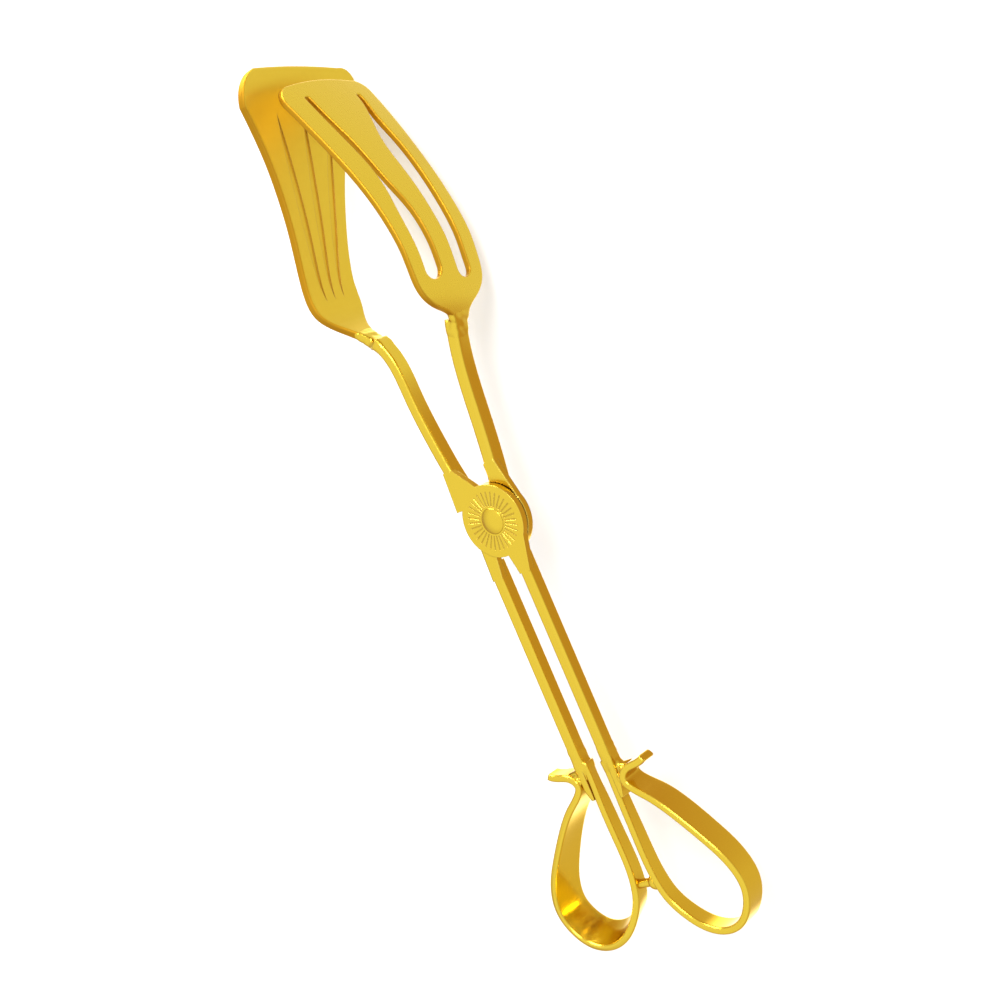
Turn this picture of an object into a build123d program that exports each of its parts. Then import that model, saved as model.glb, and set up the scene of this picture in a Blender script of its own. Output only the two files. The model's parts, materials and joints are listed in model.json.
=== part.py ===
from build123d import *
import os
from math import cos, pi, sin, sqrt

# Scissor-action serving tongs: two crossing halves on one rivet. Millimetres.
# Origin: on the pivot axis, on the flat back of the rear washer.
# +X points along the closed tongs to the blade tips, +Z is the pivot axis
# towards the engraved front, and +Y is the side of the solid blade.
# The front half carries the solid blade (+Y) and the finger bow at -Y.
# The rear half carries the slotted blade (-Y) and the finger bow at +Y.

# Pivot stack, upwards from the origin
rear_washer_thickness = 1.0
axial_play = 0.05
boss_thickness = 1.8
spacer_thickness = 0.4
boss_radius = 9.5
rear_washer_radius = 4.6
spacer_radius = 6.0
rivet_radius = 1.6
fixed_fit = 0.02
running_fit = 0.05
hub_radius = 3.4
hub_height = 1.0
tail_radius = 2.6
tail_height = 0.6
tail_recess = 0.75
tail_clearance = 0.15

# Rays engraved round the hub
ray_count = 32
ray_width = 0.3
ray_depth = 0.16
ray_start = 3.9
ray_end = 7.6

# Shanks: a slim bar with rounded edges, its front level with its boss
bar_depth = 4.8
bar_round = 0.8
front_bar_width = 3.0
rear_bar_width = 3.7
lower_bar_width = 3.4
lower_bar_depth = 4.0
lower_bar_start = -10.2
lower_bar_end = -76.0
lower_bar_taper = 4.0
lower_bar_point = 0.8

# Webs between the bars and a boss of the same thickness
front_web_throat = 0.5
rear_web_throat = 2.4
web_radius = 9.2
web_shoulder = 9.0
lower_web_flare = 1.2
lower_web_length = 4.5
front_wing = (5.0, 9.9)
rear_wing = (1.8, -9.2)

# The closed handles lie either side of this line, beside the pivot axis
handle_middle = 2.2
front_bar_offset = 5.5
rear_bar_offset = 6.0
bow_offset = 4.3
bow_offset_at_stud = 5.0

# Solid blade
solid_thickness = 2.3
solid_tip = 122.2
solid_crown = 0.6
solid_slant = 1.5
solid_corner = 5.5
solid_dish = 0.9
solid_drop = 0.6
flute_depth = 0.35
flute_width = 2.2
flute_count = 3
flute_heel = 67.0
flute_tip = 113.0
flute_heel_pitch = 3.2
flute_tip_pitch = 9.5

# Slotted blade
slotted_thickness = 1.8
slotted_tip = 116.0
slotted_crown = 1.0
slotted_slant = 1.0
slotted_corner = 4.0
slotted_turn = 1.0
slotted_dish = 1.1
slit_radius = 0.6
near_slit_end = 112.0
far_slit_end = 110.0

# Finger bows, of strip with rounded edges
front_bow_spread = 0.97
rear_bow_spread = 1.0
bow_thickness = 2.0
bow_round = 0.6
bow_start = -66.0
lap_gap = 0.02

# Stop stud between the bows
stud_place = -100.5
stud_radius = 1.2
stud_ball_radius = 2.2
stud_clearance = 0.2
braze_overlap = 0.15

# Blade making
blade_edge_round = 0.5
root_clear = 1.2
sheet_margin = 2.0
tip_overrun = 3.0
flute_over = 0.5
flute_drift = 0.4
cut_reach = 60.0

# Centre lines seen along the pivot axis, as (x, y)
solid_shank_line = [(8.9, 6.2), (15.5, 7.7), (24.0, 9.0), (36.0, 10.1), (46.5, 10.9), (52.5, 13.6)]
solid_blade_line = [
    (52.5, 13.6), (57.0, 17.6), (62.0, 21.2), (67.5, 22.3), (75.0, 20.9),
    (85.0, 17.4), (95.0, 13.8), (108.0, 8.9), (solid_tip + tip_overrun, 2.4),
]
slotted_shank_line = [(8.6, -3.4), (14.0, -4.4), (24.0, -5.8), (39.5, -8.0), (49.5, -11.0)]
slotted_blade_line = [
    (49.5, -11.0), (54.5, -13.1), (61.0, -13.9), (68.0, -14.5), (75.0, -13.9),
    (85.0, -11.7), (95.0, -8.4), (106.0, -4.0), (slotted_tip + tip_overrun, 2.2),
]

# Centre line of a finger bow, as (x, distance from the handles' middle line)
bow_line = [
    (bow_start, bow_offset), (-75.0, bow_offset), (-87.0, 4.2), (stud_place, bow_offset_at_stud),
    (-104.0, 6.2), (-108.8, 9.6), (-112.6, 14.2), (-114.4, 20.0), (-113.2, 25.6), (-109.4, 29.6),
    (-104.0, 31.6), (-97.5, 30.2), (-90.0, 25.4), (-83.0, 19.8), (-77.2, 14.0),
    (-74.2, 10.2), (-71.6, 8.6), (-69.6, 9.9), (-68.6, 12.8), (-67.4, 17.0),
]

# Strip of each bow along its line, as (share of the length, reach down, reach up, tilt in degrees)
front_bow_strip = [
    (0.0, 1.9, 1.9, 0), (0.08, 1.9, 1.9, 0), (0.16, 2.3, 2.0, 0), (0.25, 2.7, 2.0, 0),
    (0.34, 2.9, 2.2, 0), (0.44, 3.4, 2.5, 0), (0.54, 4.0, 2.8, 0), (0.65, 4.8, 3.0, 0),
    (0.76, 5.4, 3.0, 0), (0.87, 5.4, 2.8, 0), (0.93, 4.4, 2.6, 0), (1.0, 2.4, 2.2, 0),
]
rear_bow_strip = [
    (0.0, 1.9, 1.9, 0), (0.08, 1.9, 1.9, 0), (0.16, 2.3, 2.0, 0), (0.25, 2.8, 2.0, 2),
    (0.31, 3.6, 2.2, 8), (0.38, 5.2, 2.6, 18), (0.46, 6.4, 3.0, 24), (0.56, 6.4, 3.0, 23),
    (0.66, 5.8, 3.0, 18), (0.76, 5.2, 2.9, 11), (0.87, 5.0, 2.8, 3), (0.93, 4.2, 2.6, 0),
    (1.0, 2.4, 2.2, 0),
]

# Half widths along Z of the blades, as (x, half width)
solid_outline = [
    (51.0, 2.4), (57.0, 3.2), (60.5, 5.8), (64.0, 8.0), (70.0, 8.8), (78.0, 9.2),
    (86.0, 10.1), (94.0, 11.7), (102.0, 14.1), (109.0, 17.1), (115.5, 20.4),
]
slotted_outline = [
    (48.0, 2.4), (50.5, 3.6), (53.0, 7.6), (57.0, 11.6), (63.0, 12.7),
    (75.0, 12.9), (90.0, 13.5), (100.0, 14.3), (111.0, 15.0),
]

# Slots, as circles (x, z, radius) that their sides touch
near_slot = [
    (62.4, 5.8, 2.7), (71.0, 6.0, 2.7), (78.5, 6.2, 2.2), (85.0, 6.6, 1.05), (98.0, 7.7, 0.8),
    (near_slit_end, 9.0, slit_radius),
]
far_slot = [
    (60.3, -5.0, 2.3), (73.0, -5.0, 2.5), (86.0, -5.1, 2.8), (97.0, -5.4, 2.6), (103.5, -6.5, 1.2),
    (far_slit_end, -7.8, slit_radius),
]

rear_floor = rear_washer_thickness + axial_play
rear_top = rear_floor + boss_thickness
front_floor = rear_top + axial_play + spacer_thickness
front_top = front_floor + boss_thickness
front_middle = front_top - bar_depth / 2
rear_middle = rear_top - bar_depth / 2
front_bow_middle = front_top - lower_bar_depth / 2
rear_bow_middle = rear_top - lower_bar_depth / 2


def plan_curve(points, height):
    """Smooth curve seen along the pivot axis, at a height."""
    return Spline(*[(x, y, height) for x, y in points])


def section_plane(path):
    """Plane square to the start of a path, with its X along the pivot axis."""
    return Plane(origin=path @ 0, x_dir=(0, 0, 1), z_dir=path % 0)


def bar_along(path, width, depth):
    """Bar of a shank section swept along a path."""
    section = RectangleRounded(depth, width, bar_round)
    return sweep(section_plane(path) * section, path=path)


def plate(corners, floor):
    """Flat plate of the boss's thickness."""
    return extrude(Pos(0, 0, floor) * make_face(Polyline(*corners, close=True)), amount=boss_thickness)


def through(flat_shape):
    """Flat shape stood up so that it cuts square through a blade or bow."""
    return extrude(Plane.XZ * flat_shape, amount=cut_reach, both=True)


def lower_bar(side, offset, top):
    """Straight bar beside the handles' middle line, rebated for its bow's strip."""
    y = handle_middle + side * offset
    middle = top - lower_bar_depth / 2
    path = Line((lower_bar_start, y, middle), (lower_bar_end, y, middle))
    bar = bar_along(path, lower_bar_width, lower_bar_depth)
    outer = y + side * lower_bar_width / 2
    lap = handle_middle + side * (bow_offset + bow_thickness / 2 + lap_gap)
    past = lower_bar_end - lower_bar_taper
    waste = make_face(Polyline(
        (bow_start + lap_gap, handle_middle),
        (bow_start + lap_gap, lap),
        (lower_bar_end, lap),
        (lower_bar_end, lap + side * lower_bar_point),
        (lower_bar_end + lower_bar_taper, outer),
        (past, outer),
        (past, handle_middle),
        close=True,
    ))
    return bar - extrude(Pos(0, 0, middle) * waste, amount=lower_bar_depth, both=True)


def shank(line, width, wing, throat, side, offset, floor, bore_radius):
    """One crossing shank: curved upper bar, boss, webs and lower bar.

    wing is where the outer edge of the upper web ends, beside the boss, and
    throat is how far across its inner edge starts. The lower bar is at an
    offset from the handles' middle line, on the given side.
    """
    top = floor + boss_thickness
    next_x, next_y = line[1]
    wing_x, wing_y = wing
    low_x = lower_bar_start - lower_web_length
    low_y = handle_middle + side * offset
    low_inner = low_y - side * lower_bar_width / 2
    throat_y = low_inner - side * lower_web_flare
    throat_x = -sqrt(web_radius**2 - throat_y**2)
    upper_web = plate([
        (0, 0),
        (web_shoulder, -side * throat),
        (next_x, next_y + side * width / 2),
        (next_x, next_y - side * width / 2),
        wing,
        (wing_x, wing_y / 2),
    ], floor)
    lower_web = plate([
        (0, 0),
        (throat_x, throat_y),
        (low_x, low_inner),
        (low_x, low_y + side * lower_bar_width / 2),
        (0, side * web_radius),
    ], floor)
    boss = extrude(Pos(0, 0, floor) * Circle(boss_radius), amount=boss_thickness)
    bore = extrude(Pos(0, 0, floor) * Circle(bore_radius), amount=boss_thickness)
    upper_bar = bar_along(plan_curve(line, top - bar_depth / 2), width, bar_depth)
    return boss + upper_web + lower_web + upper_bar + lower_bar(side, offset, top) - bore


def front_shank():
    """Front shank, with rays engraved in its boss."""
    bore_radius = rivet_radius + fixed_fit
    body = shank(
        solid_shank_line, front_bar_width, front_wing, front_web_throat,
        -1, front_bar_offset, front_floor, bore_radius,
    )
    length = ray_end - ray_start
    ray = Pos((ray_start + ray_end) / 2, 0, front_top) * Box(length, ray_width, 2 * ray_depth)
    for index in range(ray_count):
        body = body - Rot(0, 0, index * 360 / ray_count) * ray
    return body


def rear_shank():
    """Rear shank, whose boss turns on the rivet."""
    bore_radius = rivet_radius + running_fit
    return shank(
        slotted_shank_line, rear_bar_width, rear_wing, rear_web_throat,
        1, rear_bar_offset, rear_floor, bore_radius,
    )


def blade_outline(side_points, tip, crown, slant, corner):
    """Blade outline, drawn with the blade laid flat, with rounded tip corners.

    The tip is slant longer on the +Z side and slant shorter on the other.
    """
    edges = [Line((side_points[0][0], -side_points[0][1]), side_points[0])]
    tip_starts = []
    for side in (1, -1):
        points = [(x, side * half_width) for x, half_width in side_points]
        shoulder_x, shoulder_z = points[-1]
        tip_start = (tip + side * slant, shoulder_z - side * corner)
        middle = (
            shoulder_x + (tip_start[0] - shoulder_x) * sin(pi / 4),
            shoulder_z - side * corner * (1 - cos(pi / 4)),
        )
        edges.append(Spline(*points))
        edges.append(ThreePointArc(points[-1], middle, tip_start))
        tip_starts.append(tip_start)
    edges.append(ThreePointArc(tip_starts[0], (tip + crown, 0), tip_starts[1]))
    return make_face(edges)


def dished_sheet(line, middle, half_width, rise, low, high):
    """Sheet along a centre line, bowed across by rise towards -Y.

    low and high are the places of its two faces, measured towards -Y.
    """
    path = plan_curve(line, middle)
    low_arc = ThreePointArc((-half_width, low), (0, rise + low), (half_width, low))
    high_arc = ThreePointArc((-half_width, high), (0, rise + high), (half_width, high))
    ends = [Line(low_arc @ 1, high_arc @ 1), Line(high_arc @ 0, low_arc @ 0)]
    section = make_face([low_arc, high_arc] + ends)
    return sweep(section_plane(path) * section, path=path)


def round_blade(blade, line):
    """Round every blade edge apart from the square root that meets the shank."""
    root_x = line[0][0] + root_clear
    return fillet(blade.edges().filter_by(lambda edge: edge.center().X > root_x), blade_edge_round)


def flute(heel_z, tip_z):
    """Flat lens shape of one flute, pointed at both ends."""
    start = (flute_heel, heel_z)
    end = (flute_tip, tip_z)
    middle_x = (flute_heel + flute_tip) / 2
    middle_z = heel_z + (tip_z - heel_z) * flute_drift
    upper = Spline(start, (middle_x, middle_z + flute_width / 2), end)
    lower = Spline(start, (middle_x, middle_z - flute_width / 2), end)
    return make_face([upper, lower])


def solid_blade():
    """Fan-shaped serving blade with shallow flutes on its inner face."""
    reach = solid_outline[-1][1] + sheet_margin
    half = solid_thickness / 2
    middle = front_middle - solid_drop
    sheet = dished_sheet(solid_blade_line, middle, reach, -solid_dish, -half, half)
    outline = blade_outline(solid_outline, solid_tip, solid_crown, solid_slant, solid_corner)
    blade = round_blade(sheet & through(Pos(0, middle) * outline), solid_blade_line)
    skin = dished_sheet(solid_blade_line, middle, reach, -solid_dish, half - flute_depth, half + flute_over)
    for index in range(flute_count):
        place = index - (flute_count - 1) / 2
        lane = Pos(0, middle) * flute(place * flute_heel_pitch, place * flute_tip_pitch)
        blade = blade - (skin & through(lane))
    return blade


def slot(circles):
    """Flat slot with smooth sides that touch a row of circles, and round ends."""
    upper = [(x, z + radius) for x, z, radius in circles]
    lower = [(x, z - radius) for x, z, radius in circles]
    heel_x, heel_z, heel_radius = circles[0]
    tip_x, tip_z, tip_radius = circles[-1]
    along = [(1, 0), (1, 0)]
    return make_face([
        Spline(*upper, tangents=along),
        ThreePointArc(upper[-1], (tip_x + tip_radius, tip_z), lower[-1]),
        Spline(*lower, tangents=along),
        ThreePointArc(lower[0], (heel_x - heel_radius, heel_z), upper[0]),
    ])


def slotted_blade():
    """Blade of three strips with two long slots."""
    reach = slotted_outline[-1][1] + sheet_margin
    half = slotted_thickness / 2
    sheet = dished_sheet(slotted_blade_line, rear_middle, reach, slotted_dish, -half, half)
    outline = blade_outline(slotted_outline, slotted_tip, slotted_crown, slotted_slant, slotted_corner)
    root_x = slotted_outline[0][0]
    outline = Pos(root_x, 0) * Rot(0, 0, slotted_turn) * Pos(-root_x, 0) * outline
    outline = outline - slot(near_slot) - slot(far_slot)
    blade = sheet & through(Pos(0, rear_middle) * outline)
    return round_blade(blade, slotted_blade_line)


def strip_section(path, share, down, up, tilt):
    """Section of a bow's strip, square to its path at a share of the length."""
    plane = Plane(origin=path @ share, x_dir=(0, 0, 1), z_dir=path % share)
    section = RectangleRounded(down + up, bow_thickness, bow_round)
    return plane * Rot(0, 0, tilt) * Pos((up - down) / 2, 0) * section


def finger_bow(side, middle, strip, spread):
    """Teardrop of strip, stretched sideways by spread, with its free end flared out."""
    line = []
    for x, away in bow_line:
        outwards = max(away - bow_offset_at_stud, 0) * (spread - 1)
        line.append((x, handle_middle + side * (away + outwards)))
    path = plan_curve(line, middle)
    sections = [strip_section(path, share, down, up, -side * tilt) for share, down, up, tilt in strip]
    return sweep(sections, path=path, multisection=True)


def domed_head(radius, height):
    """Low dome on the XY plane, rising along +Z."""
    sphere_radius = (radius**2 + height**2) / (2 * height)
    ball = Pos(0, 0, height - sphere_radius) * Sphere(sphere_radius)
    return ball & extrude(Circle(radius), amount=height)


def pivot_rivet():
    """Rivet with a domed hub in front and a formed tail behind."""
    shaft = extrude(Pos(0, 0, tail_recess) * Circle(rivet_radius), amount=front_top - tail_recess)
    hub = Pos(0, 0, front_top) * domed_head(hub_radius, hub_height)
    tail = Pos(0, 0, tail_recess) * Rot(180, 0, 0) * domed_head(tail_radius, tail_height)
    return shaft + hub + tail


def rear_washer():
    """Ring behind the rear boss, recessed so that the rivet's tail lies below its back."""
    ring = extrude(Circle(rear_washer_radius), amount=rear_washer_thickness)
    recess = extrude(Circle(tail_radius + tail_clearance), amount=tail_recess)
    bore = extrude(Circle(rivet_radius + fixed_fit), amount=rear_washer_thickness)
    return ring - recess - bore


def spacer_washer():
    """Thin ring between the two bosses."""
    ring = Circle(spacer_radius) - Circle(rivet_radius + fixed_fit)
    return extrude(Pos(0, 0, rear_top + axial_play) * ring, amount=spacer_thickness)


def stop_stud():
    """Stud on the rear bow that meets the front bow when the tongs close."""
    bow_face = bow_offset_at_stud - bow_thickness / 2
    root = handle_middle + bow_face + braze_overlap
    end = handle_middle - bow_face + stud_clearance
    ball_middle = end + stud_ball_radius
    stem = extrude(Plane.XZ * Circle(stud_radius), amount=root - ball_middle)
    stem = Pos(stud_place, root, rear_bow_middle) * stem
    ball = Pos(stud_place, ball_middle, rear_bow_middle) * Sphere(stud_ball_radius)
    return stem + ball


nodes = {
    "front_shank": front_shank(),
    "rear_shank": rear_shank(),
    "solid_blade": solid_blade(),
    "slotted_blade": slotted_blade(),
    "front_bow": finger_bow(-1, front_bow_middle, front_bow_strip, front_bow_spread),
    "rear_bow": finger_bow(1, rear_bow_middle, rear_bow_strip, rear_bow_spread),
    "pivot_rivet": pivot_rivet(),
    "spacer_washer": spacer_washer(),
    "rear_washer": rear_washer(),
    "stop_stud": stop_stud(),
}

os.makedirs("parts", exist_ok=True)
for name, shape in nodes.items():
    export_step(shape, f"parts/{name}.step")
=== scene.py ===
import json
from math import cos, pi, sin
from statistics import median

import bmesh
import bpy
from mathutils import Matrix, Vector, noise
from mathutils.bvhtree import BVHTree


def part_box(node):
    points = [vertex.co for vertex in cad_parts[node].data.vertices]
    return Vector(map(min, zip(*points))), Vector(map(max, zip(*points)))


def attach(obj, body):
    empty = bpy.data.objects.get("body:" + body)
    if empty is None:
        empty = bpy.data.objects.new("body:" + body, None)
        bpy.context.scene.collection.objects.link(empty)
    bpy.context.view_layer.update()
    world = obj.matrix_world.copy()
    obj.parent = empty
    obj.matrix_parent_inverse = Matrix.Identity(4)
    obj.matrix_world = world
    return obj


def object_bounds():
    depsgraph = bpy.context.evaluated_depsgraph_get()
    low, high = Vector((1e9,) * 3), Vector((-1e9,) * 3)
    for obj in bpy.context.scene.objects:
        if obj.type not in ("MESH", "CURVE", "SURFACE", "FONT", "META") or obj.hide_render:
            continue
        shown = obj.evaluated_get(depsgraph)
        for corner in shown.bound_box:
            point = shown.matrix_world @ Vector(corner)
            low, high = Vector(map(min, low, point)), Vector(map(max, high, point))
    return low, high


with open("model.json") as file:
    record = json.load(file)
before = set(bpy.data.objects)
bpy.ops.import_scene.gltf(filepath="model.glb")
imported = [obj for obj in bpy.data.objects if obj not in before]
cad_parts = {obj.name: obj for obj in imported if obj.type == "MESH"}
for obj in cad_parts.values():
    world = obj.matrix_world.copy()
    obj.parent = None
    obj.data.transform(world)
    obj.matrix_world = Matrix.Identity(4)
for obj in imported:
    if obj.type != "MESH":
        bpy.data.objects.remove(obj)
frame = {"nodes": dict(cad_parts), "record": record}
cad_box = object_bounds()
nodes = frame["nodes"]

MM = 0.001

# The camera looks down the tongs' pivot axis at a slant, with the tips up.
CAMERA_DISTANCE = 0.45
CAMERA_BACK = Vector((0.0523, -0.6629, 0.7469))
CAMERA_UP = Vector((0.9182, -0.2622, -0.2970))
CAMERA_AIM = Vector((0, 0, 1.5 * MM))
CAMERA_VIEW_WIDTH = 0.25
CAMERA_SHIFT = (-0.001, 0.017)
SENSOR = 36.0


def add_camera():
    """Camera at the viewing angle of the reference."""
    back = CAMERA_BACK.normalized()
    up = (CAMERA_UP - back * CAMERA_UP.dot(back)).normalized()
    right = up.cross(back)
    turn = Matrix((right, up, back)).transposed().to_4x4()
    data = bpy.data.cameras.new("camera")
    data.sensor_width = SENSOR
    data.lens = SENSOR * CAMERA_DISTANCE / CAMERA_VIEW_WIDTH
    data.shift_x, data.shift_y = CAMERA_SHIFT
    data.clip_start = 0.01
    camera = bpy.data.objects.new("camera", data)
    bpy.context.scene.collection.objects.link(camera)
    camera.matrix_world = Matrix.Translation(CAMERA_AIM + back * CAMERA_DISTANCE) @ turn
    bpy.context.scene.camera = camera


# ---------------------------------------------------------------- materials
# Colours are linear. Noise scales are in waves per metre.

# The deep colours serve random tone and painted shade; the pale colours serve worn edges with a painted
# highlight.
GOLD = (0.80, 0.57, 0.052)
GOLD_DEEP_SHADE = (0.56, 0.29, 0.014)
GOLD_PALE_WORN_HIGHLIGHT = (0.92, 0.74, 0.16)
BRASS = (0.62, 0.42, 0.12)
BRASS_DEEP_SHADE = (0.38, 0.22, 0.05)
BLACK = (0, 0, 0)
WHITE = (1, 1, 1)

SCRATCH_SCALE = 1400.0
CROSS_SCRATCH_SCALE = 1100.0
CLOUD_SCALE = 70.0
WAVE_SCALE = 150.0
DENT_SCALE = 420.0
SCRATCH_ROUGHNESS = 0.14
SCRATCH_DEPTH = 0.0012 * MM
WAVE_DEPTH = 0.05 * MM
HOLLOW_REACH = 2.2 * MM
# Painted shade: how far hollows are mixed towards the deep colour.
HOLLOW_PAINTED_SHADE = 0.9
HOLLOW_ROUGHNESS = 0.15
FACING_BLEND = 0.4
# Painted shade: how far faces seen at a slant turn towards the deep colour.
FACING_SHADE = 0.55
CLOUD_TONE = 0.3
# Worn pale edges that also paint a highlight.
WORN_HIGHLIGHT_GAIN = 1.2
MOST_WORN_HIGHLIGHT = 0.6


class Nodes:
    """Small helper for building a node tree."""

    def __init__(self, tree):
        self.tree = tree

    def add(self, kind, inputs=None, **settings):
        node = self.tree.nodes.new(kind)
        for key, value in settings.items():
            setattr(node, key, value)
        for key, value in (inputs or {}).items():
            if isinstance(value, bpy.types.NodeSocket):
                self.tree.links.new(value, node.inputs[key])
            else:
                node.inputs[key].default_value = value
        return node

    def ramp(self, factor, stops):
        node = self.add("ShaderNodeValToRGB", {"Fac": factor})
        elements = node.color_ramp.elements
        while len(elements) < len(stops):
            elements.new(0.5)
        for element, (position, color) in zip(elements, stops):
            element.position = position
            element.color = (*color, 1.0)
        return node.outputs["Color"]

    def math(self, operation, first, second=0.0):
        return self.add("ShaderNodeMath", {0: first, 1: second}, operation=operation).outputs[0]

    def noise(self, place, scale, detail, stretch=(1, 1, 1)):
        """Noise of a scale in waves per metre, stretched along the axes."""
        scales = tuple(scale * share for share in stretch)
        mapped = self.add("ShaderNodeMapping", {"Vector": place, "Scale": scales}).outputs[0]
        return self.add("ShaderNodeTexNoise", {"Vector": mapped, "Scale": 1.0, "Detail": detail}).outputs[0]

    def bump(self, height, distance, normal=None):
        inputs = {"Height": height, "Strength": 1.0, "Distance": distance}
        if normal is not None:
            inputs["Normal"] = normal
        return self.add("ShaderNodeBump", inputs).outputs[0]


def plated_metal(name, tones, roughness, hammer, edge, painted_rim_shade=0.0):
    """Polished plate: fine wiping scratches, soft waves, pale worn edges with a painted highlight, and
    painted shade in hollows and on faces seen at a slant.

    tones are the bright colour, the deep colour for random tone and painted shade, and the pale colour for
    worn edges and painted highlight. hammer is the depth of the dents and edge the radius of the soft
    edges, both in millimetres.
    The rim shade argument paints shade on what faces along the pivot axis, such as a blade's rim.
    """
    bright, deep, pale = tones
    material = bpy.data.materials.new(name)
    material.use_nodes = True
    tree = material.node_tree
    tree.nodes.clear()
    n = Nodes(tree)
    place = n.add("ShaderNodeTexCoord").outputs["Object"]
    scratches = n.noise(place, SCRATCH_SCALE, 5.0, stretch=(0.06, 1, 1))
    cross_scratches = n.noise(place, CROSS_SCRATCH_SCALE, 4.0, stretch=(1, 0.1, 0.1))
    cloud = n.noise(place, CLOUD_SCALE, 4.0)
    wave = n.noise(place, WAVE_SCALE, 1.0, stretch=(0.6, 1, 1))
    dents = n.noise(place, DENT_SCALE, 2.0)

    round_edges = n.add("ShaderNodeBevel", {"Radius": edge * MM}, samples=6).outputs[0]
    flat = n.add("ShaderNodeNewGeometry").outputs["Normal"]
    bend = n.add("ShaderNodeVectorMath", {0: round_edges, 1: flat}, operation="DISTANCE").outputs["Value"]
    hollow = n.add("ShaderNodeAmbientOcclusion", {"Distance": HOLLOW_REACH}, samples=8).outputs["AO"]
    facing = n.add("ShaderNodeLayerWeight", {"Blend": FACING_BLEND}).outputs["Facing"]

    # Painted shade: faces seen at a slant turn towards the deep colour, and the cloud adds random tone.
    tone = n.math("ADD", n.math("MULTIPLY", facing, FACING_SHADE), n.math("MULTIPLY", cloud, CLOUD_TONE))
    base = n.ramp(tone, [(0.1, bright), (0.42, bright), (0.85, deep)])
    # Painted shade: faces turned along the pivot axis, such as a blade's rim, turn deep as strongly as the
    # rim shade argument asks.
    along_pivot = n.math("ABSOLUTE", n.add("ShaderNodeSeparateXYZ", {0: round_edges}).outputs["Z"])
    rim = n.ramp(along_pivot, [(0.25, BLACK), (0.6, WHITE)])
    # Painted shade: hollows and corners, where metal lies close by, are mixed towards the deep colour.
    painted_shade = n.math("MULTIPLY", n.math("SUBTRACT", 1.0, hollow), HOLLOW_PAINTED_SHADE)
    painted_shade = n.math("MAXIMUM", painted_shade, n.math("MULTIPLY", rim, painted_rim_shade))
    shaded = n.add("ShaderNodeMix", {0: painted_shade, 6: base, 7: (*deep, 1)}, data_type="RGBA").outputs[2]
    # Worn pale edges with a painted highlight: rounded edges turn pale in cloudy patches.
    worn_highlight = n.math("MULTIPLY", n.math("MULTIPLY", bend, cloud), WORN_HIGHLIGHT_GAIN)
    worn_highlight = n.math("MINIMUM", worn_highlight, MOST_WORN_HIGHLIGHT)
    color = n.add("ShaderNodeMix", {0: worn_highlight, 6: shaded, 7: (*pale, 1)}, data_type="RGBA").outputs[2]

    scratch_mix = n.math("ADD", scratches, cross_scratches)
    grain = n.math("MULTIPLY", n.math("SUBTRACT", scratch_mix, 1.0), SCRATCH_ROUGHNESS)
    rough = n.math("ADD", n.math("ADD", roughness, grain), n.math("MULTIPLY", painted_shade, HOLLOW_ROUGHNESS))
    normal = n.bump(wave, WAVE_DEPTH, round_edges)
    normal = n.bump(dents, hammer * MM, normal)
    normal = n.bump(scratch_mix, SCRATCH_DEPTH, normal)
    shader = n.add("ShaderNodeBsdfPrincipled", {
        "Base Color": color, "Metallic": 1.0, "Roughness": rough, "Normal": normal,
    })
    output = n.add("ShaderNodeOutputMaterial")
    tree.links.new(shader.outputs[0], output.inputs["Surface"])
    return material


def dress(node_name, material):
    """Give a CAD node its material."""
    mesh = nodes[node_name].data
    mesh.materials.clear()
    mesh.materials.append(material)


GOLD_TONES = (GOLD, GOLD_DEEP_SHADE, GOLD_PALE_WORN_HIGHLIGHT)
BRASS_TONES = (BRASS, BRASS_DEEP_SHADE, GOLD)
polished = plated_metal("polished_gold", GOLD_TONES, roughness=0.17, hammer=0.008, edge=0.6)
# The blades get painted shade on their rims.
blade_gold = plated_metal("blade_gold", GOLD_TONES, roughness=0.28, hammer=0.012, edge=0.3, painted_rim_shade=1.0)
brushed = plated_metal("brushed_gold", GOLD_TONES, roughness=0.42, hammer=0.012, edge=0.3, painted_rim_shade=1.0)
engraved = plated_metal("engraved_gold", GOLD_TONES, roughness=0.22, hammer=0.008, edge=0.3)
hammered = plated_metal("hammered_gold", GOLD_TONES, roughness=0.2, hammer=0.06, edge=0.2)
bare_brass = plated_metal("bare_brass", BRASS_TONES, roughness=0.38, hammer=0.01, edge=0.1)
MATERIAL_OF_SLOT = {
    "polished_plate": polished,
    "engraved_plate": engraved,
    "rivet_plate": hammered,
    "washer_brass": bare_brass,
}
for part in frame["record"]["subparts"]:
    dress(part["node"], MATERIAL_OF_SLOT[part["material_slot"]])
dress("slotted_blade", blade_gold)
dress("solid_blade", brushed)


# ---------------------------------------------------------------- brazed joints

SKIN_RINGS = 44
SKIN_AROUND = 64
SKIN_REACH = 6.0 * MM
SKIN_EMBED = 0.12 * MM
SKIN_FADE = 3.2
SKIN_BLEND_SHARE = 5
SKIN_SWELL = 0.3 * MM
SKIN_LUMPS = 0.22 * MM
LUMP_PITCH = 1.6 * MM
ROOT_WINDOW = 0.7 * MM
FAR_OUT = 40 * MM
CONTACT_STEP = 0.3 * MM
CONTACT_STEPS = 40
CLEAR_OF_FACE = 0.01 * MM
LUMP_SIZE = Vector((1.5, 1.0, 1.1)) * MM
LUMP_PLACES = ((-1.3, 0.5), (0.2, -0.4), (1.5, 0.6))
LUMP_SEED_STEP = 3.7
LUMP_FINENESS = 5
ROUGH_WAVES = 1.7
ROUGH_HEIGHT = 0.3
FINE_WAVES = 4.5
FINE_HEIGHT = 0.08
SIDE_STEPS = (-2, -1, 0, 1, 2)
LAP_START = 16 * MM
LAP_END = 5.5 * MM
LAP_SWELL = 0.12 * MM
LAP_LUMPS = 0.1 * MM


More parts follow.
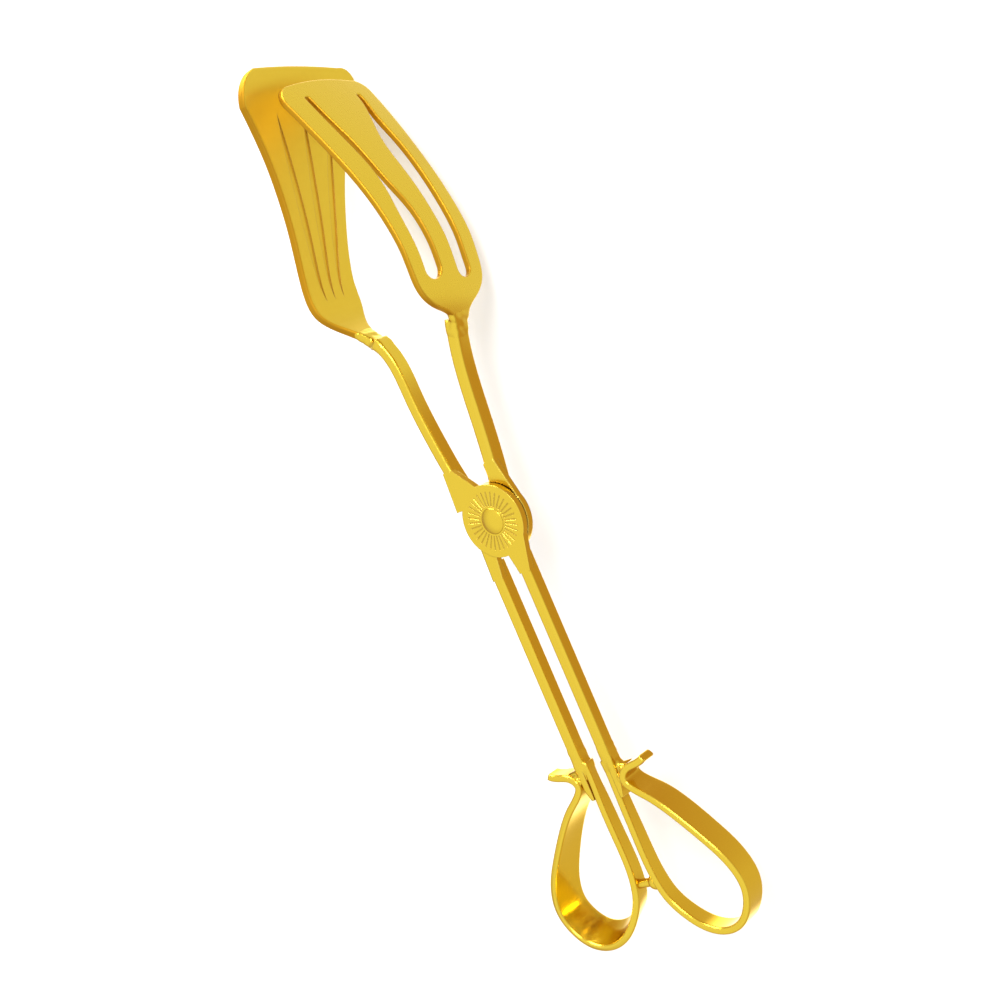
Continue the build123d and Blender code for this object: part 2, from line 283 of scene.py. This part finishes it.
def tree_of(*node_names):
    """Search tree over the faces of CAD nodes."""
    points = []
    faces = []
    for node_name in node_names:
        mesh = nodes[node_name].data
        first = len(points)
        points += [vertex.co.copy() for vertex in mesh.vertices]
        faces += [[first + index for index in polygon.vertices] for polygon in mesh.polygons]
    return BVHTree.FromPolygons(points, faces)


def slab_middle(node_name, x):
    """Middle of the box round a CAD node's points close to a place along X."""
    points = [v.co for v in nodes[node_name].data.vertices if abs(v.co.x - x) <= ROOT_WINDOW]
    low = Vector([min(point[axis] for point in points) for axis in range(3)])
    high = Vector([max(point[axis] for point in points) for axis in range(3)])
    return (low + high) / 2


def smooth_step(value):
    """Smooth rise from 0 to 1 as the value goes from 0 to 1."""
    value = min(max(value, 0.0), 1.0)
    return value * value * (3 - 2 * value)


def new_piece(name, mesh, material, body):
    """Link a finished mesh as a smooth piece that rides on a body."""
    mesh.materials.append(material)
    for polygon in mesh.polygons:
        polygon.use_smooth = True
    piece = bpy.data.objects.new(name, mesh)
    bpy.context.scene.collection.objects.link(piece)
    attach(piece, body)


def closed_tube(name, rings):
    """Closed mesh through rings of points, with a fan at each end."""
    work = bmesh.new()
    rows = [[work.verts.new(point) for point in ring] for ring in rings]
    for near, far in zip(rows, rows[1:]):
        for index, corner in enumerate(near):
            following = (index + 1) % len(near)
            work.faces.new((corner, far[index], far[following], near[following]))
    for row in (rows[0], rows[-1]):
        middle = work.verts.new(sum((corner.co for corner in row), Vector()) / len(row))
        for index, corner in enumerate(row):
            work.faces.new((corner, row[(index + 1) % len(row)], middle))
    bmesh.ops.recalc_face_normals(work, faces=work.faces)
    mesh = bpy.data.meshes.new(name)
    work.to_mesh(mesh)
    work.free()
    return mesh


def settled(radii, index, turn):
    """Middle value of the radii round a place on a skin, so that no ray that missed leaves a pit."""
    rows = radii[max(0, index - 1):index + 2]
    return median(row[(turn + step) % SKIN_AROUND] for row in rows for step in (-1, 0, 1))


def braze_skin(name, node_names, start, end, swell, lumps, body):
    """Skin of braze metal over a joint, from start to end.

    It follows the metal, fills its steps and fades out at both ends.
    """
    tree = tree_of(*node_names)
    along = (end - start).normalized()
    across = Vector((0, 0, 1)).cross(along).normalized()
    up = along.cross(across)
    directions = []
    for index in range(SKIN_AROUND):
        angle = 2 * pi * index / SKIN_AROUND
        directions.append(across * cos(angle) + up * sin(angle))
    centres = [start.lerp(end, index / (SKIN_RINGS - 1)) for index in range(SKIN_RINGS)]
    radii = []
    for centre in centres:
        row = []
        for direction in directions:
            place = tree.ray_cast(centre + direction * SKIN_REACH, -direction, SKIN_REACH)[0]
            row.append(0.0 if place is None else (place - centre).length)
        radii.append(row)
    reach = SKIN_RINGS // SKIN_BLEND_SHARE
    radii = [[settled(radii, index, turn) for turn in range(SKIN_AROUND)] for index in range(SKIN_RINGS)]
    rings = []
    for index, centre in enumerate(centres):
        share = index / (SKIN_RINGS - 1)
        fade = smooth_step(min(share, 1 - share) * SKIN_FADE)
        near = range(max(0, index - reach), min(SKIN_RINGS, index + reach + 1))
        ring = []
        for turn, direction in enumerate(directions):
            own = radii[index][turn]
            sides = [(turn + step) % SKIN_AROUND for step in SIDE_STEPS]
            weights = [reach + 1 - abs(index - other) for other in near]
            mean = sum(w * sum(radii[other][side] for side in sides) for w, other in zip(weights, near))
            mean /= len(SIDE_STEPS) * sum(weights)
            filled = max(own, mean)
            lump = noise.noise((centre + direction * own) / LUMP_PITCH) * lumps
            radius = own - SKIN_EMBED + fade * (filled - own + SKIN_EMBED + swell + lump)
            ring.append(centre + direction * radius)
        rings.append(ring)
    new_piece(name, closed_tube(name, rings), polished, body)


def braze_lump(name, middle, seed, body):
    """Small pool of braze metal, an uneven pebble sunk into the pieces it joins."""
    work = bmesh.new()
    bmesh.ops.create_icosphere(work, subdivisions=LUMP_FINENESS, radius=1.0)
    for vertex in work.verts:
        rough = noise.noise(vertex.co * ROUGH_WAVES + Vector((seed, 0, 0)))
        fine = noise.noise(vertex.co * FINE_WAVES + Vector((0, seed, 0)))
        point = vertex.co * (1 + ROUGH_HEIGHT * rough + FINE_HEIGHT * fine)
        vertex.co = middle + Vector([point[axis] * LUMP_SIZE[axis] for axis in range(3)])
    mesh = bpy.data.meshes.new(name)
    work.to_mesh(mesh)
    work.free()
    new_piece(name, mesh, hammered, body)


def add_blade_joint(name, shank_node, blade_node, back, forward, body):
    """Skin over the place where a blade's root meets its shank.

    It reaches back along the shank and forward along the blade, in millimetres.
    """
    root_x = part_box(blade_node)[0].x
    start = slab_middle(shank_node, root_x - back * MM)
    end = slab_middle(blade_node, root_x + forward * MM)
    braze_skin(name, (shank_node, blade_node), start, end, SKIN_SWELL, SKIN_LUMPS, body)


def add_bow_joint(name, shank_node, bow_node, side, body):
    """Skin over the start of a bow's strip, and lumps where its free end touches the shank."""
    handle_middle = (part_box("front_bow")[0].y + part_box("rear_bow")[1].y) / 2
    end_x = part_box(shank_node)[0].x
    shank_tree = tree_of(shank_node)
    bow_tree = tree_of(bow_node)
    z = (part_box(shank_node)[0].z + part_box(shank_node)[1].z) / 2
    outward = Vector((0, side, 0))

    def bar_faces(x):
        """Points where the inner and outer faces of the shank's lower bar are at x."""
        far = Vector((x, handle_middle + side * FAR_OUT, z))
        near = Vector((x, handle_middle, z))
        outer = shank_tree.ray_cast(far, -outward)[0]
        inner = shank_tree.ray_cast(near, outward)[0]
        return inner, outer

    best = None
    for step in range(CONTACT_STEPS):
        outer = bar_faces(end_x + step * CONTACT_STEP)[1]
        if outer is None:
            continue
        bend = bow_tree.ray_cast(outer + outward * CLEAR_OF_FACE, outward)[0]
        if bend is not None and (best is None or (bend - outer).length < best[0]):
            best = ((bend - outer).length, (bend + outer) / 2)
    contact = best[1]
    for index, (drop, rise) in enumerate(LUMP_PLACES):
        middle = contact + Vector((rise, 0, drop)) * MM
        braze_lump(f"{name}_lump_{index + 1}", middle, LUMP_SEED_STEP * index + side, body)

    inner, outer = bar_faces(end_x + LAP_START)
    start = (inner + outer) / 2
    inner, outer = bar_faces(end_x + LAP_END)
    end = (inner + outer) / 2
    braze_skin(f"{name}_skin", (shank_node, bow_node), start, end, LAP_SWELL, LAP_LUMPS, body)


add_blade_joint("solid_blade_braze", "front_shank", "solid_blade", 3.0, 6.0, "front_half")
add_blade_joint("slotted_blade_braze", "rear_shank", "slotted_blade", 3.5, 3.4, "rear_half")
add_bow_joint("front_bow_braze", "front_shank", "front_bow", -1, "front_half")
add_bow_joint("rear_bow_braze", "rear_shank", "rear_bow", 1, "rear_half")


# ---------------------------------------------------------------- stage

FLOOR_SIZE = 6.0
FLOOR_GAP = 0.2 * MM
FLOOR_COLOR = (0.93, 0.93, 0.93)
BLADE_CARD = (0.96, 0.93, 0.86)
BAR_CARD = (0.64, 0.42, 0.22)
BOW_CARD = (0.82, 0.68, 0.46)
RIM_CARD = (2.4, 2.2, 1.9)
WORLD_LIGHT = 1.05
DOME_FOOT = (0.45, 0.36, 0.26)
DOME_LOW = (0.8, 0.74, 0.62)


def add_floor():
    """Plain pale floor just under the tongs.

    Where the metal mirrors it, it glows with painted reflection colours that stand in for studio cards:
    warm under the handles, pale under the blades, and bright where a rim looks past the tongs.
    """
    mesh = bpy.data.meshes.new("floor")
    corners = [(-FLOOR_SIZE, -FLOOR_SIZE, 0), (FLOOR_SIZE, -FLOOR_SIZE, 0),
               (FLOOR_SIZE, FLOOR_SIZE, 0), (-FLOOR_SIZE, FLOOR_SIZE, 0)]
    mesh.from_pydata(corners, [], [(0, 1, 2, 3)])
    floor = bpy.data.objects.new("floor", mesh)
    floor.location.z = cad_box[0][2] - FLOOR_GAP
    bpy.context.scene.collection.objects.link(floor)
    material = bpy.data.materials.new("pale_floor")
    material.use_nodes = True
    tree = material.node_tree
    tree.nodes.clear()
    n = Nodes(tree)
    pale = n.add("ShaderNodeBsdfDiffuse", {"Color": (*FLOOR_COLOR, 1)}).outputs[0]

    geometry = n.add("ShaderNodeNewGeometry")
    floor_x = n.add("ShaderNodeSeparateXYZ", {0: geometry.outputs["Position"]}).outputs["X"]
    length = cad_box[1][0] - cad_box[0][0]
    along = n.math("DIVIDE", n.math("SUBTRACT", floor_x, cad_box[0][0]), length)
    card = n.ramp(along, [(0.06, BOW_CARD), (0.24, BAR_CARD), (0.62, BAR_CARD), (0.69, BLADE_CARD)])
    incoming = n.add("ShaderNodeSeparateXYZ", {0: geometry.outputs["Incoming"]})
    beyond = n.ramp(n.math("SUBTRACT", 0.1, incoming.outputs["Y"]), [(0.1, BLACK), (0.42, WHITE)])
    below = n.ramp(incoming.outputs["Z"], [(0.45, BLACK), (0.7, WHITE)])
    rim_share = n.math("MULTIPLY", beyond, below)
    card = n.add("ShaderNodeMix", {0: rim_share, 6: card, 7: (*RIM_CARD, 1)}, data_type="RGBA").outputs[2]
    # Painted reflection: to glossy rays the floor glows in the card colours instead of showing its pale
    # face.
    painted_reflection_glow = n.add("ShaderNodeEmission", {"Color": card, "Strength": 1.0}).outputs[0]
    mirrored = n.add("ShaderNodeLightPath").outputs["Is Glossy Ray"]
    mix = n.add("ShaderNodeMixShader", {0: mirrored, 1: pale, 2: painted_reflection_glow}).outputs[0]
    output = n.add("ShaderNodeOutputMaterial")
    tree.links.new(mix, output.inputs["Surface"])
    mesh.materials.append(material)


def add_world():
    """Soft white dome, a little dimmer low down where the metal mirrors it."""
    world = bpy.data.worlds.new("studio")
    bpy.context.scene.world = world
    world.use_nodes = True
    tree = world.node_tree
    tree.nodes.clear()
    n = Nodes(tree)
    direction = n.add("ShaderNodeTexCoord").outputs["Generated"]
    height = n.add("ShaderNodeSeparateXYZ", {0: direction}).outputs["Z"]
    dome = n.ramp(height, [(0.0, DOME_FOOT), (0.3, DOME_LOW), (0.75, WHITE)])
    mirrored = n.add("ShaderNodeLightPath").outputs["Is Glossy Ray"]
    color = n.add("ShaderNodeMix", {0: mirrored, 6: (*WHITE, 1), 7: dome}, data_type="RGBA").outputs[2]
    background = n.add("ShaderNodeBackground", {"Color": color, "Strength": WORLD_LIGHT}).outputs[0]
    output = n.add("ShaderNodeOutputWorld")
    tree.links.new(background, output.inputs["Surface"])


def add_area_light(name, place, aim, size, power):
    """White rectangular light at a place, turned to its aim."""
    data = bpy.data.lights.new(name, "AREA")
    data.shape = "RECTANGLE"
    data.size, data.size_y = size
    data.energy = power
    light = bpy.data.objects.new(name, data)
    light.location = place
    direction = Vector(aim) - Vector(place)
    light.rotation_euler = direction.to_track_quat("-Z", "Y").to_euler()
    bpy.context.scene.collection.objects.link(light)


add_floor()
add_world()
add_area_light("key", place=(0.35, -0.35, 0.55), aim=(0.02, 0, 0), size=(0.22, 0.22), power=2.2)
add_area_light("tip_card", place=(0.7, 0.15, 0.1), aim=(0.1, 0, 0.01), size=(0.5, 0.4), power=7.0)
add_camera()
bpy.context.scene.view_settings.view_transform = "Standard"
